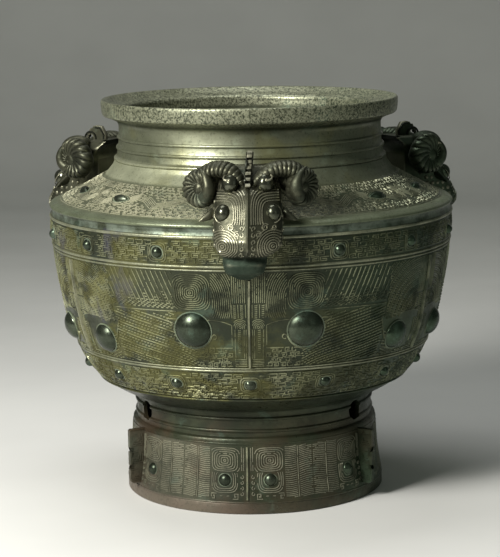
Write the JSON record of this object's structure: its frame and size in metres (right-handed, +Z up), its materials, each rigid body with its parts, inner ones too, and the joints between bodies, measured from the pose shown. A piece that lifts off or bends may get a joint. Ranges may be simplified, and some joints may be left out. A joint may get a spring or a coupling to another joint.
{
  "type": "zun vessel",
  "caption": "Wide bronze ritual wine vessel on a high foot ring, with cast ram's heads on the shoulder, domed eye bosses and bands of spiral relief.",
  "frame": {"origin": "under the middle of the whole bounding box, on the surface that the foot ring stands on", "axes": "+Z up along the vessel's axis, -Y out through the front ram's head, +X to the right seen from the front"},
  "size_m": [0.5706, 0.59, 0.52],
  "materials": {
    "bronze": "aged bronze with grey-green patina, ochre earth in the grooves and worn bright edges",
    "bronze_heads": "aged bronze with darker grey-green patina, worn bright on the high places"
  },
  "bodies": {
    "root": {"vessel": "bronze", "ram_head_front": "bronze_heads", "ram_head_left": "bronze_heads", "ram_head_right": "bronze_heads"}
  },
  "joints": []
}
